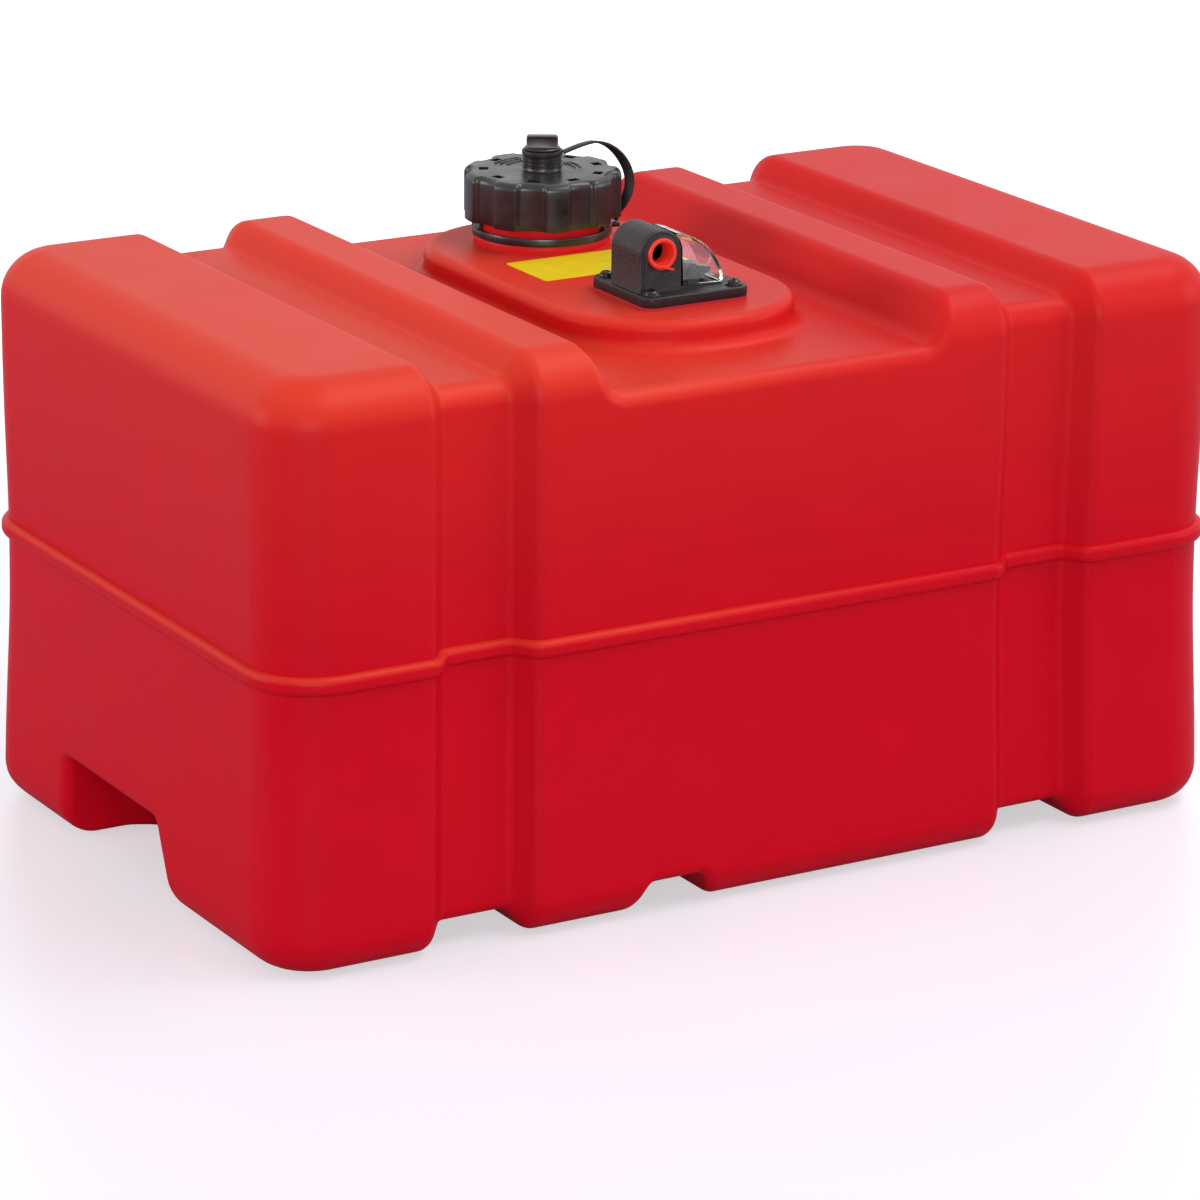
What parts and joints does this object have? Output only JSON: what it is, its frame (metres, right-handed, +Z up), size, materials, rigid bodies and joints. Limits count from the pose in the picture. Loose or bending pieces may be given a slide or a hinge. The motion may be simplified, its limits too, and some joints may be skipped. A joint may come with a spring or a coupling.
{
  "type": "outboard fuel tank",
  "caption": "Red moulded fuel tank with strap grooves, a tethered screw cap with a vent, and a float gauge with a clear lens beside a guarded fuel port.",
  "frame": {"origin": "on the floor under the middle of the tank", "axes": "+X along the tank's length, +Y across it away from the fuel port, +Z up"},
  "size_m": [0.592, 0.364, 0.3621],
  "materials": {
    "tank": "satin moulded red polyethylene",
    "black_plastic": "satin moulded black nylon",
    "black_rubber": "plain",
    "red_rubber": "plain",
    "black_steel": "black coated",
    "wire_steel": "drawn wire",
    "clear_lens": "clear moulded",
    "guard_red": "soft moulded",
    "pickup_plastic": "natural extruded",
    "sticker_film": "printed film, blank"
  },
  "bodies": {
    "tank": {"tank_shell": "tank", "tether_ring": "black_plastic", "gauge_body": "black_plastic", "gauge_gasket": "red_rubber", "gauge_screws": "black_steel", "gauge_lens": "clear_lens", "lens_seal": "red_rubber", "pivot_pin": "wire_steel", "pickup_tube": "pickup_plastic", "pickup_strainer": "pickup_plastic", "sticker": "sticker_film"},
    "strap": {"tether_strap": "black_plastic"},
    "carrier": {"tether_eye": "black_plastic"},
    "cap": {"filler_cap": "black_plastic", "cap_gasket": "black_rubber"},
    "vent_lift": {"vent_seal": "black_rubber"},
    "vent": {"vent_knob": "black_plastic"},
    "gauge_float": {"gauge_pointer": "black_plastic", "float_arm": "wire_steel", "float": "black_plastic", "float_clip": "wire_steel"},
    "guard": {"port_guard": "guard_red"}
  },
  "joints": [
    {"name": "cap_lift_off", "type": "slide", "parent": "tank", "child": "strap", "axis": [0, 0, 1], "range_m": [0, 0.045], "deforming": ["tether_strap"]},
    {"name": "cap_rise", "type": "slide", "parent": "strap", "child": "carrier", "axis": [0, 0, 1], "range_m": [0, 0.01]},
    {"name": "cap_turn", "type": "hinge", "parent": "carrier", "child": "cap", "pos_m": [0, 0.0705, 0.3377], "axis": [0, 0, 1], "range_deg": [0, 720]},
    {"name": "vent_rise", "type": "slide", "parent": "cap", "child": "vent_lift", "axis": [0, 0, 1], "range_m": [0, 0.0025]},
    {"name": "vent_turn", "type": "hinge", "parent": "vent_lift", "child": "vent", "pos_m": [0, 0.0705, 0.3544], "axis": [0, 0, 1], "range_deg": [0, 720]},
    {"name": "float_swing", "type": "hinge", "parent": "tank", "child": "gauge_float", "pos_m": [0.005, -0.07225, 0.3165], "axis": [0, -1, 0], "range_deg": [0, 70]},
    {"name": "port_guard_pull", "type": "slide", "parent": "tank", "child": "guard", "axis": [0, -1, 0], "range_m": [0, 0.06]}
  ],
  "couplings": [
    {"joint": "cap_rise", "follows": "cap_turn", "m_per_rad": 0.00079577},
    {"joint": "vent_rise", "follows": "vent_turn", "m_per_rad": 0.00019894}
  ]
}
